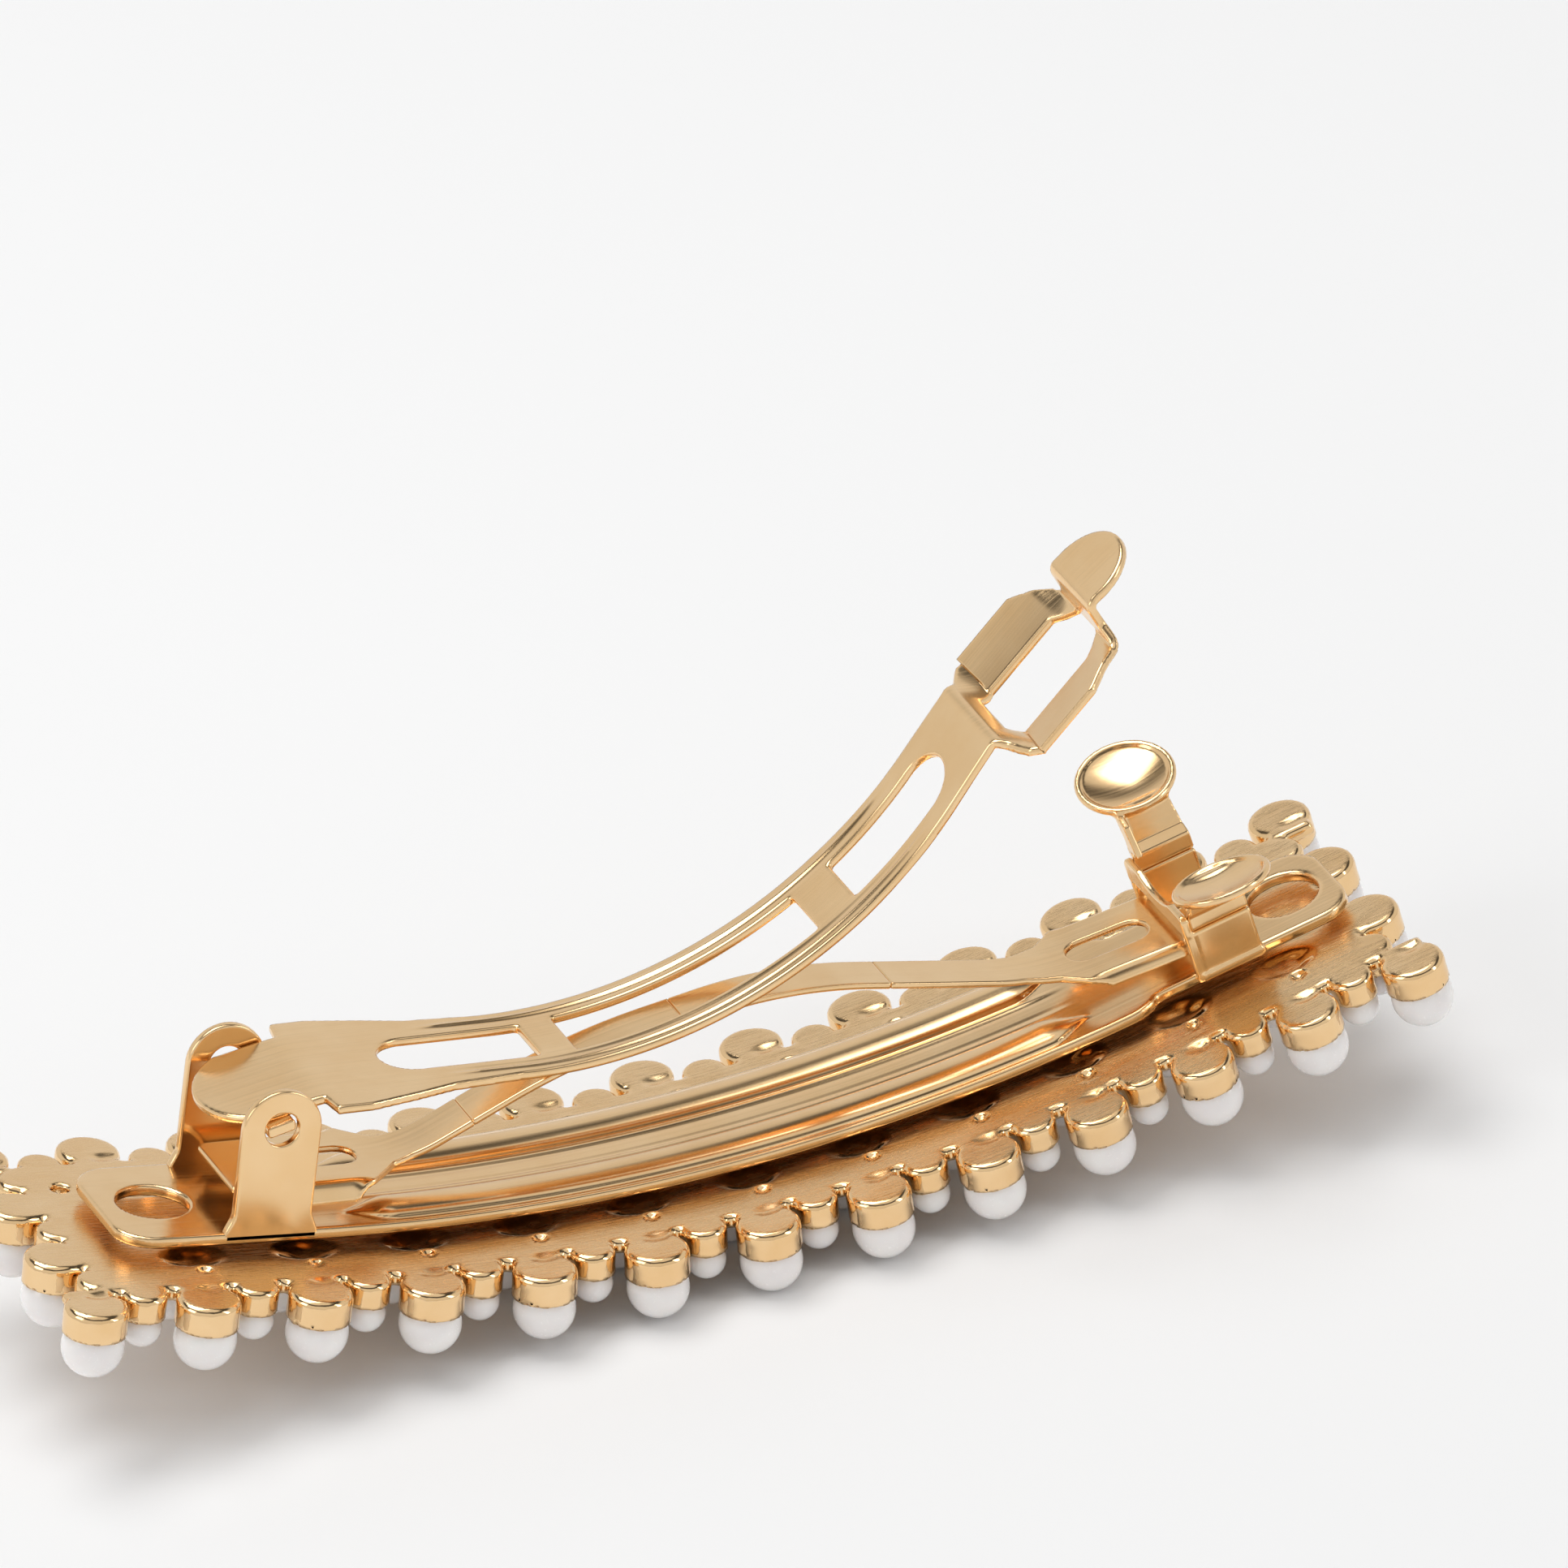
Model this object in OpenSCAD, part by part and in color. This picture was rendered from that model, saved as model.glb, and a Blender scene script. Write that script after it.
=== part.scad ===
// Pearl barrette, shown lying on its pearls with the clip open.
// X runs along the length (hinge at -X, latch at +X), Y across, Z up, millimetres.
// The lowest pearls touch z = 0 under the origin.

/* [Decoration] */
// Spacing of the large pearls along the length
pitch = 7; // [6.6:0.1:8]
// Distance between the centre lines of the two outer rows
row_span = 20.56; // [20:0.1:23]
// Bend radius of the middle of the barrette
bow_r = 124.3; // [100:1:180]
// Radius of a large pearl
pearl_r = 1.87; // [1.6:0.01:1.95]
// Radius of a small pearl
small_r = 1.2; // [0.9:0.05:1.25]

/* [Clip] */
// Width of the clip base strip
base_w = 10; // [9.6:0.1:10.6]
// Thickness of the clip base sheet
base_t = 0.7; // [0.5:0.05:0.7]
// Half width of the arm along its two rails
arm_hw = 4.1; // [3.6:0.1:4.2]
// Thickness of the arm sheet
arm_t = 0.6; // [0.4:0.05:0.6]
// Half width of the leaf spring strip
leaf_hw = 1.6; // [1.2:0.1:1.6]

/* [Hidden] */
$fn = 48;
gold = [0.86, 0.68, 0.42];
pearl_white = [0.95, 0.94, 0.92];

cup_r = 1.95;                       // outer radius of a large cup
cup_h = 1.85;                       // depth of a large cup below the back face
pearl_drop = 2.67;                  // large pearl centre below the back face
seat_gap = 0.03;                    // glue gap round a pearl
small_cup_r = small_r + 0.15;
small_cup_h = 1.7;
small_drop = 2.3;
small_inset = 1.35;                 // small row set in from the outer row
row_y = row_span / 2;
inner_y = row_span / 6;
slab_t = 1.0;
slab_hw = row_y - 1.6;
end_s = 6 * pitch;
back_z = pearl_drop + pearl_r;      // height of the back face under the origin
flat_s = 26;                        // length of arc on each side, straight beyond
bow_a = flat_s / bow_r * 180 / PI;  // slope of the straight ends

function arc_s(s) = min(max(s, -flat_s), flat_s);
function slope(s) = arc_s(s) / bow_r * 180 / PI;
function sp_x(s) = bow_r * sin(slope(s)) + (s - arc_s(s)) * cos(slope(s));
function sp_z(s) = back_z + bow_r * (1 - cos(slope(s))) + (s - arc_s(s)) * sin(slope(s));

module at_spine(s, y = 0, off = 0) {
  translate([sp_x(s), y, sp_z(s)])
    rotate([0, -slope(s), 0])
      translate([0, 0, off])
        children();
}

// side profile of a band that follows the bow between two offsets
bow_steps = 14;

function bow_point(s, off) = [sp_x(s) - off * sin(slope(s)), sp_z(s) + off * cos(slope(s))];
function bow_stations(left, right) =
  let (l = min(left, flat_s) - 0.5, r = min(right, flat_s) - 0.5)
    [-left, for (i = [0:bow_steps]) -l + (l + r) * i / bow_steps, right];

module bow_profile(off0, off1, left, right) {
  st = bow_stations(left, right);
  n = len(st);
  polygon(concat(
    [for (i = [0:n - 1]) bow_point(st[i], off0)],
    [for (i = [n - 1:-1:0]) bow_point(st[i], off1)]));
}

module side_extrude(hw) {
  translate([0, hw, 0])
    rotate([90, 0, 0])
      linear_extrude(2 * hw)
        children();
}

// ---------- decoration ----------
module outline_half() {
  x1 = sp_x(end_s) - 1.6;
  polygon([[-x1, -slab_hw], [x1, -slab_hw], [x1, slab_hw], [-x1, slab_hw]]);
}

module cup_solid(s, y, r, h, top) {
  at_spine(s, y, -h)
    cylinder(r = r, h = h + top);
}

module neck(s, y0, y1, w) {
  at_spine(s, 0, -slab_t + 0.06)
    translate([-w / 2, min(y0, y1), 0])
      cube([w, abs(y1 - y0), slab_t - 0.03]);
}

module end_neck(s, y, w) {
  side = sign(s);
  at_spine(s, y, -slab_t + 0.06)
    translate([side > 0 ? -3.2 : 0, -w / 2, 0])
      cube([3.2, w, slab_t - 0.03]);
}

// straight pocket that the back of a pearl sits in
module pearl_seat(s, y, r, drop, h) {
  at_spine(s, y, -h - 1)
    cylinder(r = sqrt(r * r - (drop - h) * (drop - h)) + seat_gap, h = 1 + h - (drop - r) + seat_gap);
}

module casting() {
  color(gold)
  difference() {
    union() {
      intersection() {
        side_extrude(slab_hw)
          bow_profile(-slab_t, 0, end_s + 3, end_s + 3);
        linear_extrude(60)
          outline_half();
      }
      for (k = [-6:6]) {
        for (side = [-1, 1]) {
          cup_solid(k * pitch, side * row_y, cup_r, cup_h, 0.05);
          neck(k * pitch, side * (slab_hw - 0.6), side * row_y, 2.9);
          if (abs(k) < 6)
            cup_solid(k * pitch, side * inner_y, cup_r, cup_h, -0.4);
        }
      }
      for (k = [-6:5]) {
        for (side = [-1, 1])
          cup_solid((k + 0.5) * pitch, side * (row_y - small_inset), small_cup_r, small_cup_h,
            0.04);
      }
      for (e = [-1, 1]) {
        for (side = [-1, 1]) {
          cup_solid(e * end_s, side * inner_y, cup_r, cup_h, 0.05);
          end_neck(e * end_s, side * inner_y, 2.9);
          cup_solid(e * (end_s - small_inset), side * 2 * inner_y, small_cup_r, small_cup_h, 0.04);
        }
        cup_solid(e * (end_s - small_inset), 0, small_cup_r, small_cup_h, 0.04);
      }
      // raised pads that carry the clip base
      for (s = [-31, 0, 31])
        at_spine(s, 0, -0.3)
          translate([-3, -3.6, 0])
            cube([6, 7.2, 0.93]);
    }
    for (k = [-6:6]) {
      for (side = [-1, 1]) {
        pearl_seat(k * pitch, side * row_y, pearl_r, pearl_drop, cup_h);
        pearl_seat(k * pitch, side * inner_y, pearl_r, pearl_drop, cup_h);
        // dished pockets beside the clip
        at_spine(k * pitch + 0.8, side * 5.2, 1.35)
          sphere(r = 1.8);
      }
    }
    for (k = [-6:5]) {
      for (side = [-1, 1]) {
        pearl_seat((k + 0.5) * pitch, side * (row_y - small_inset), small_r, small_drop,
          small_cup_h);
      }
    }
    for (e = [-1, 1]) {
      for (side = [-1, 1])
        pearl_seat(e * (end_s - small_inset), side * 2 * inner_y, small_r, small_drop,
          small_cup_h);
      pearl_seat(e * (end_s - small_inset), 0, small_r, small_drop, small_cup_h);
    }
  }
}

module large_pearl(s, y) {
  color(pearl_white)
  at_spine(s, y, -pearl_drop)
    sphere(r = pearl_r);
}

module small_pearl(s, y) {
  color(pearl_white)
  at_spine(s, y, -small_drop)
    sphere(r = small_r);
}

module pearl_near(i) { large_pearl((i - 7) * pitch, -row_y); }
module pearl_far(i) { large_pearl((i - 7) * pitch, row_y); }
module pearl_end(e, side) { large_pearl(e * end_s, side * inner_y); }

module inner_pearls(side) {
  for (k = [-5:5])
    large_pearl(k * pitch, side * inner_y);
}

module small_pearls(side) {
  for (k = [-6:5])
    small_pearl((k + 0.5) * pitch, side * (row_y - small_inset));
}

module small_pearls_ends() {
  for (e = [-1, 1])
    for (j = [-1:1])
      small_pearl(e * (end_s - small_inset), j * 2 * inner_y);
}

// ---------- clip base ----------
seat_off = 0.63;                    // underside of the base above the back face
top_off = seat_off + base_t;        // upper face of the base
base_left = -38.5;
base_right = 41.5;
ear_s = -29.3;
ear_hw = 2.45;
ear_t = 0.6;
ear_y = base_w / 2;
pivot_h = 6.55;                     // pivot above the upper face of the base
pin_r = 1.0;
pin_gap = 0.05;
bead_y = 3.0;
bead_hw = 1.4;
bead_end = 24;

pivot_x = sp_x(ear_s) - (top_off + pivot_h) * sin(slope(ear_s));
pivot_z = sp_z(ear_s) + (top_off + pivot_h) * cos(slope(ear_s));

module base_plan() {
  xl = sp_x(base_left);
  xr = sp_x(base_right);
  w = base_w / 2;
  n = w - 1;
  translate([xl + 2.5, -w])
    square([27 - xl - 2.5, 2 * w]);
  translate([xl, -w + 2.5])
    square([3, 2 * w - 5]);
  for (y = [-1, 1]) {
    translate([xl + 2.5, y * (w - 2.5)])
      circle(2.5);
    translate([xr - 2.5, y * (n - 2.5)])
      circle(2.5);
  }
  polygon([[26.9, -w], [29.4, -n - 0.5], [29.4, n + 0.5], [26.9, w]]);
  translate([29.3, -n - 0.5])
    square([6, 2 * n + 1]);
  translate([35, -n])
    square([xr - 37.5, 2 * n]);
  translate([35, -n + 2.5])
    square([xr - 35, 2 * n - 5]);
}

// stamped bead, stepped so that its section reads as rounded
module bead(y) {
  for (step = [0:2])
    translate([0, y, 0])
      side_extrude(bead_hw - 0.32 * step * step)
        bow_profile(seat_off + 0.25, top_off + 0.2 + 0.17 * step, bead_end - 2 * step,
          bead_end - 2 * step);
}

module ear(side) {
  color(gold)
  at_spine(ear_s, side * (ear_y - ear_t / 2), top_off)
    translate([0, ear_t / 2, 0])
      rotate([90, 0, 0])
        linear_extrude(ear_t)
          difference() {
            union() {
              translate([-ear_hw, 0])
                square([2 * ear_hw, pivot_h]);
              translate([0, pivot_h])
                circle(ear_hw);
            }
            translate([0, pivot_h])
              circle(pin_r + pin_gap);
          }
}

module hinge_ear_near() { ear(-1); }
module hinge_ear_far() { ear(1); }

module clip_base() {
  color(gold)
  difference() {
    union() {
      intersection() {
        side_extrude(base_w / 2)
          bow_profile(seat_off, top_off, -base_left + 2, base_right + 2);
        linear_extrude(60)
          base_plan();
      }
      bead(-bead_y);
      bead(bead_y);
    }
    at_spine(-34.9, 0, -1)
      cylinder(r = 2.2, h = 4);
    at_spine(38.3, 0, -1)
      cylinder(r = 2.2, h = 4);
  }
}

// ---------- latch ----------
latch_s = 33.2;
wall_x = 1.9;
wall_y = 4.0;
wall_t = 0.5;
foot_h = 3.0;
disc_r = 3.1;
disc_el = 12;

module latch_bridge() {
  color(gold)
  at_spine(latch_s, 0, top_off) {
    for (side = [-1, 1]) {
      translate([-wall_x, side > 0 ? wall_y : -wall_y - wall_t, 0])
        cube([2 * wall_x, wall_t, foot_h]);
      translate([-wall_x - 0.5, side > 0 ? wall_y : -wall_y - wall_t, 0])
        cube([0.55, wall_t, 4]);
    }
    difference() {
      translate([-wall_x - 0.5, -wall_y - wall_t, 2.75])
        cube([0.5, 2 * wall_y + 2 * wall_t, 1.5]);
      translate([-wall_x - 1, 0, 9.3])
        rotate([0, 90, 0])
          cylinder(r = 5.6, h = 2);
    }
  }
}

module prong(side) {
  color(gold)
  at_spine(latch_s, 0, top_off)
    mirror([0, side > 0 ? 0 : 1, 0]) {
      translate([wall_x, 0, 0])
        rotate([90, 0, -90])
          mirror([1, 0, 0])
            linear_extrude(2 * wall_x - 0.05)
              polygon([[4.0, 3.05], [4.5, 3.05], [4.5, 4.3], [5.0, 4.7], [5.55, 6.7],
                [5.05, 6.85], [4.5, 4.95], [4.0, 4.5]]);
      // cross flange on the hinge side
      translate([-wall_x + 0.05, 0, 0])
        rotate([90, 0, 90])
          linear_extrude(0.5)
            polygon([[3.1, 4.55], [4.2, 4.55], [5.2, 6.6], [4.9, 6.7], [4.0, 6.2], [3.5, 5.2]]);
      // cupped finger disc
      translate([0, 5.2 + 2.4 * cos(disc_el), 6.6 + 2.4 * sin(disc_el)])
        rotate([disc_el, 0, 0])
          difference() {
            cylinder(r = disc_r, h = 0.8, center = true);
            translate([0, 0, 7.85])
              sphere(r = 8);
          }
    }
}

module latch_prong_near() { prong(-1); }
module latch_prong_far() { prong(1); }

// ---------- arm ----------
arm_x0 = -11.92;                    // start of the curved part
arm_z0 = back_z + 9.94;
arm_r = 30.8;
arm_a0 = -9;
arm_a1 = 49;
crest_x = -24.3;                    // top of the hinge plate
crest_z = arm_z0 + (arm_x0 - crest_x) * tan(-arm_a0);
tail_l = 6.6;
arm_end_x = arm_x0 + arm_r * (sin(arm_a1) - sin(arm_a0));
arm_end_z = arm_z0 + arm_r * (cos(arm_a0) - cos(arm_a1));
neck_l = 4.9;
neck_x = arm_end_x + neck_l * cos(arm_a1);
neck_z = arm_end_z + neck_l * sin(arm_a1);
ring_a = 41.5;
ring_drop = 2.05;                   // floor of the loop below the neck
ring_len = 10;
tail_hw = ear_y - ear_t - 0.15;

// centre line of the sheet from the tail to the neck, each point with its slope
arm_steps = 12;
arm_path = concat(
  [[crest_x - tail_l * cos(4), crest_z - tail_l * sin(4), 4], [crest_x, crest_z, -2.5]],
  [for (i = [0:arm_steps])
    let (a = arm_a0 + (arm_a1 - arm_a0) * i / arm_steps)
      [arm_x0 + arm_r * (sin(a) - sin(arm_a0)), arm_z0 + arm_r * (cos(arm_a0) - cos(a)), a]],
  [[neck_x, neck_z, arm_a1]]);

function path_side(path, d) = [for (p = path) [p[0] - d * sin(p[2]), p[1] + d * cos(p[2])]];
function backwards(v) = [for (i = [len(v) - 1:-1:0]) v[i]];

module arm_profile() {
  polygon(concat(path_side(arm_path, -arm_t / 2), backwards(path_side(arm_path, arm_t / 2))));
}

module arm_plan() {
  difference() {
    union() {
      polygon([[-28.2, -tail_hw], [crest_x, -tail_hw], [crest_x, -6], [-22, -5.9],
        [-19, -5.2], [-16.4, -4.5], [-12, -arm_hw], [10, -arm_hw], [21, -3.9],
        [21, 3.9], [10, arm_hw], [-12, arm_hw], [-16.4, 4.5], [-19, 5.2], [-22, 5.9],
        [crest_x, 6], [crest_x, tail_hw], [-28.2, tail_hw]]);
      intersection() {
        translate([-26.2, 0])
          circle(4.75);
        translate([-32, -tail_hw])
          square([6, 2 * tail_hw]);
      }
    }
    // three windows between the rails
    translate([-17.6, 0])
      circle(2.0);
    translate([-17.6, -2.0])
      square([7.4, 4]);
    translate([-8, -2.2])
      square([15.7, 4.4]);
    translate([10.2, -2.2])
      square([5.4, 4.4]);
    translate([15.6, 0])
      circle(2.2);
  }
}

module ring_plan(grow) {
  offset_w = grow;
  polygon([[0.35 - offset_w * 0.2, -1.2 - offset_w * 0.72], [2.1 - offset_w * 0.1, -2.85 - offset_w],
    [7.2 + offset_w * 0.25, -2.85 - offset_w], [9.3 + offset_w * 0.4, -1.2 - offset_w * 0.5],
    [9.3 + offset_w * 0.4, 1.2 + offset_w * 0.5], [7.2 + offset_w * 0.25, 2.85 + offset_w],
    [2.1 - offset_w * 0.1, 2.85 + offset_w], [0.35 - offset_w * 0.2, 1.2 + offset_w * 0.72]]);
}

module ring() {
  translate([neck_x, 0, neck_z])
    rotate([0, -ring_a, 0]) {
      // dished octagon with an octagonal opening
      intersection() {
        translate([-1.5, 0, 0])
          rotate([90, 0, 90])
            linear_extrude(14)
              polygon([[-6.9, -0.7], [-2.8, -ring_drop], [2.8, -ring_drop], [6.9, -0.7],
                [6.9, -0.7 - arm_t * 1.05], [2.8, -ring_drop - arm_t],
                [-2.8, -ring_drop - arm_t], [-6.9, -0.7 - arm_t * 1.05]]);
        difference() {
          translate([0, 0, -6])
            linear_extrude(10)
              ring_plan(3.9);
          translate([0, 0, -7])
            linear_extrude(12)
              ring_plan(0);
        }
      }
      // step between the neck and the loop
      translate([-0.45, -3.9, -ring_drop - arm_t])
        cube([0.6, 7.8, ring_drop + arm_t * 1.4]);
    }
}

// round thumb tab, raised on a steep riser at the far end of the loop
module tab() {
  translate([neck_x, 0, neck_z])
    rotate([0, -ring_a, 0]) {
      translate([0, 2.4, 0])
        rotate([90, 0, 0])
          linear_extrude(4.8)
            polygon([[9.3, -ring_drop - arm_t * 0.9], [9.95, -ring_drop - arm_t * 0.9],
              [10.5, 0.2], [9.92, 0.3]]);
      translate([10.64, 0, 0.48])
        rotate([0, 6.5, 0])
          translate([0, 0, -arm_t])
            intersection() {
              cylinder(r = 3.1, h = arm_t);
              translate([-0.84, -4, -1])
                cube([5, 8, 3]);
            }
    }
}

module arm() {
  color(gold)
  union() {
    intersection() {
      side_extrude(7)
        arm_profile();
      linear_extrude(60)
        arm_plan();
    }
    ring();
    tab();
  }
}

module trunnion(side) {
  color(gold)
  translate([pivot_x, side > 0 ? tail_hw : -ear_y, pivot_z])
    rotate([-90, 0, 0])
      cylinder(r = pin_r, h = ear_y - tail_hw);
}

// ---------- leaf spring ----------
leaf_t = 0.45;
spring_pts = [[-19, 4.9], [-7.5, 8.714], [5.8, 9.783], [21.5, 5.7]];
anchor_a = -10;
slider_a = 8;

function leaf_angle(i) = atan2(spring_pts[i + 1][1] - spring_pts[i][1],
  spring_pts[i + 1][0] - spring_pts[i][0]);
function leaf_len(i) = norm(spring_pts[i + 1] - spring_pts[i]);

module leaf(i) {
  color(gold)
  translate([spring_pts[i][0], 0, back_z + spring_pts[i][1]])
    rotate([0, -leaf_angle(i), 0])
      translate([0.1, -leaf_hw, -leaf_t / 2])
        cube([leaf_len(i) - 0.2, 2 * leaf_hw, leaf_t]);
}

module spring_anchor() {
  color(gold)
  difference() {
    union() {
      translate([spring_pts[0][0], 0, back_z + spring_pts[0][1]])
        rotate([0, -anchor_a, 0]) {
          translate([-11.5, -4.0, -leaf_t / 2])
            cube([8.6, 8.0, leaf_t]);
          translate([0, 0, -leaf_t / 2])
            linear_extrude(leaf_t)
              polygon([[-3, -4.0], [-1.4, -3.2], [-0.1, -leaf_hw], [-0.1, leaf_hw],
                [-1.4, 3.2], [-3, 4.0]]);
          for (side = [-1, 1])
            translate([-8.5, side > 0 ? 3.6 : -4.0, -1.1])
              cube([5.6, 0.4, 1.1]);
        }
      for (side = [-1, 1])
        at_spine(-30, side > 0 ? 3.5 : -4.0, top_off)
          translate([-0.8, 0, 0])
            cube([1.6, 0.5, 2.1]);
    }
    translate([spring_pts[0][0], 0, back_z + spring_pts[0][1]])
      rotate([0, -anchor_a, 0]) {
        translate([-3.6, 0, -1])
          cylinder(r = 1.1, h = 2);
        translate([-6.6, 0, -1])
          cylinder(r = 1.1, h = 2);
        translate([-6.6, -1.1, -1])
          cube([3, 2.2, 2]);
      }
  }
}

module spring_slider() {
  color(gold)
  translate([spring_pts[3][0], 0, back_z + spring_pts[3][1]])
    rotate([0, -slider_a, 0])
      difference() {
        union() {
          translate([0, 0, -leaf_t / 2])
            linear_extrude(leaf_t)
              polygon([[0.1, -leaf_hw], [1.6, -3.4], [3.2, -3.8], [8.6, -3.8], [9.4, -3.0],
                [9.4, 3.0], [8.6, 3.8], [3.2, 3.8], [1.6, 3.4], [0.1, leaf_hw]]);
          for (side = [-1, 1])
            translate([3.2, side > 0 ? 3.4 : -3.8, -1.2])
              cube([4.2, 0.4, 1.2]);
        }
        translate([3.6, 0, -1])
          cylinder(r = 1.2, h = 2);
        translate([7.6, 0, -1])
          cylinder(r = 1.2, h = 2);
        translate([3.6, -1.2, -1])
          cube([4, 2.4, 2]);
      }
}

casting();
pearl_near(1);  // pearl_near_01
pearl_near(2);  // pearl_near_02
pearl_near(3);  // pearl_near_03
pearl_near(4);  // pearl_near_04
pearl_near(5);  // pearl_near_05
pearl_near(6);  // pearl_near_06
pearl_near(7);  // pearl_near_07
pearl_near(8);  // pearl_near_08
pearl_near(9);  // pearl_near_09
pearl_near(10);  // pearl_near_10
pearl_near(11);  // pearl_near_11
pearl_near(12);  // pearl_near_12
pearl_near(13);  // pearl_near_13
pearl_far(1);  // pearl_far_01
pearl_far(2);  // pearl_far_02
pearl_far(3);  // pearl_far_03
pearl_far(4);  // pearl_far_04
pearl_far(5);  // pearl_far_05
pearl_far(6);  // pearl_far_06
pearl_far(7);  // pearl_far_07
pearl_far(8);  // pearl_far_08
pearl_far(9);  // pearl_far_09
pearl_far(10);  // pearl_far_10
pearl_far(11);  // pearl_far_11
pearl_far(12);  // pearl_far_12
pearl_far(13);  // pearl_far_13
pearl_end(-1, -1);  // pearl_end_left_near
pearl_end(-1, 1);  // pearl_end_left_far
pearl_end(1, -1);  // pearl_end_right_near
pearl_end(1, 1);  // pearl_end_right_far
inner_pearls(-1);  // inner_pearls_near
inner_pearls(1);  // inner_pearls_far
small_pearls(-1);  // small_pearls_near
small_pearls(1);  // small_pearls_far
small_pearls_ends();
clip_base();
hinge_ear_near();
hinge_ear_far();
latch_bridge();
latch_prong_near();
latch_prong_far();
trunnion(-1);  // trunnion_near
trunnion(1);  // trunnion_far
arm();
spring_anchor();
leaf(0);  // spring_left_leaf
leaf(1);  // spring_middle_leaf
leaf(2);  // spring_right_leaf
spring_slider();
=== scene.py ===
"""Pearl barrette, lying on its pearls with the clip open. Lengths are in millimetres until put()."""
import math
import bpy
import numpy as np
from mathutils import Matrix, Vector


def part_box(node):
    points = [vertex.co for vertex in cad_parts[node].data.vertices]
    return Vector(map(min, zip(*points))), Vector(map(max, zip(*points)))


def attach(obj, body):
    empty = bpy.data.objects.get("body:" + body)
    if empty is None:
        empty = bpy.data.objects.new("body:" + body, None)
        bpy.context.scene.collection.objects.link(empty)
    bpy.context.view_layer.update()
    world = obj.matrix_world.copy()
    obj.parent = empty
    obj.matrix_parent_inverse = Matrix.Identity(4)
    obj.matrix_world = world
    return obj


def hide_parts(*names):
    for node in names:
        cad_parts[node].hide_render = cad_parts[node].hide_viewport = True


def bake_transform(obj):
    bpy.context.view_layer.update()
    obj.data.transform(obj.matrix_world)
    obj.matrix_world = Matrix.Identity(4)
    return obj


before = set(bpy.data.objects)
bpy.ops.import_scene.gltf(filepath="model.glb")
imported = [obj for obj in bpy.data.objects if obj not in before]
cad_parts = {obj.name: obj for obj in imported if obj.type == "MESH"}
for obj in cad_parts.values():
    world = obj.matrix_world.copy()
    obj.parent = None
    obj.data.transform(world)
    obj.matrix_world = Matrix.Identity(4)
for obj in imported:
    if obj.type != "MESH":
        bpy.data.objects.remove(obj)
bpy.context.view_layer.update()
MM = 0.001


def cad_box(node):
    """A CAD node's lowest and highest corner, in millimetres."""
    lo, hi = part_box(node)
    return np.array(lo) / MM, np.array(hi) / MM


# ---------- measures taken from the frame ----------
def pivot_point():
    lo, hi = cad_box("trunnion_near")
    return (lo[0] + hi[0]) / 2, (lo[2] + hi[2]) / 2


LARGE_R = (cad_box("pearl_near_07")[1][0] - cad_box("pearl_near_07")[0][0]) / 2
SMALL_R = 1.2
PEARL_DROP = 2.67
BACK_Z = PEARL_DROP + LARGE_R
PITCH = 7.0
ROW_Y = cad_box("pearl_far_07")[1][1] - LARGE_R
INNER_Y = ROW_Y / 3
END_S = 6 * PITCH
BOW_R = 124.3
FLAT_S = 26.0
CUP_R, CUP_H = 1.95, 1.85
SMALL_CUP_R, SMALL_CUP_H = 1.35, 1.7
SMALL_INSET, SMALL_DROP = 1.35, 2.3
SLAB_T = 1.0
SLAB_HW = ROW_Y - 1.6
SEAT, TOP = 0.63, 1.33
EAR_S, EAR_HW, PIVOT_H = -29.3, 2.45, 6.55
LATCH_S = 33.2
PIVOT_X, PIVOT_Z = pivot_point()


def bow(p):
    """Bends points (s, y, offset) onto the bowed back of the barrette."""
    s, y, o = p[:, 0], p[:, 1], p[:, 2]
    arc = np.clip(s, -FLAT_S, FLAT_S)
    a = arc / BOW_R
    x = BOW_R * np.sin(a) + (s - arc) * np.cos(a) - o * np.sin(a)
    z = BACK_Z + BOW_R * (1 - np.cos(a)) + (s - arc) * np.sin(a) + o * np.cos(a)
    return np.stack([x, y, z], axis=1)


# ---------- distance fields, negative inside ----------
def disc(u, v, cu, cv, r):
    return np.hypot(u - cu, v - cv) - r


def box2(u, v, u0, u1, v0, v1, r=0.0):
    du = np.abs(u - (u0 + u1) / 2) - (u1 - u0) / 2 + r
    dv = np.abs(v - (v0 + v1) / 2) - (v1 - v0) / 2 + r
    return np.hypot(np.maximum(du, 0), np.maximum(dv, 0)) + np.minimum(np.maximum(du, dv), 0) - r


def polygon2(u, v, points, r=0.0):
    """Signed distance to a polygon, grown by r with round corners."""
    best = np.full(np.broadcast(u, v).shape, 1e9)
    inside = np.zeros(best.shape, bool)
    n = len(points)
    for i in range(n):
        ax, ay = points[i]
        bx, by = points[(i + 1) % n]
        ex, ey = bx - ax, by - ay
        t = np.clip(((u - ax) * ex + (v - ay) * ey) / (ex * ex + ey * ey), 0, 1)
        best = np.minimum(best, np.hypot(u - ax - t * ex, v - ay - t * ey))
        if ay != by:
            over = ((v >= ay) != (v >= by)) & (u < ax + (v - ay) * ex / ey)
            inside ^= over
    return np.where(inside, -best, best) - r


def mirrored(points):
    """Closes a half outline, given from left to right at v >= 0, by its mirror image."""
    return list(points) + [(a, -b) for a, b in reversed(points)]


def plate(d, o, lo, hi, r):
    """A flat outline d given thickness from lo to hi, with edges rounded by r."""
    w = np.abs(o - (lo + hi) / 2) - (hi - lo) / 2 + r
    d = d + r
    return np.hypot(np.maximum(d, 0), np.maximum(w, 0)) + np.minimum(np.maximum(d, w), 0) - r


def join(a, b, k):
    """Union with a fillet of about k."""
    h = np.clip(0.5 + 0.5 * (b - a) / k, 0, 1)
    return b + (a - b) * h - k * h * (1 - h)


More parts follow.
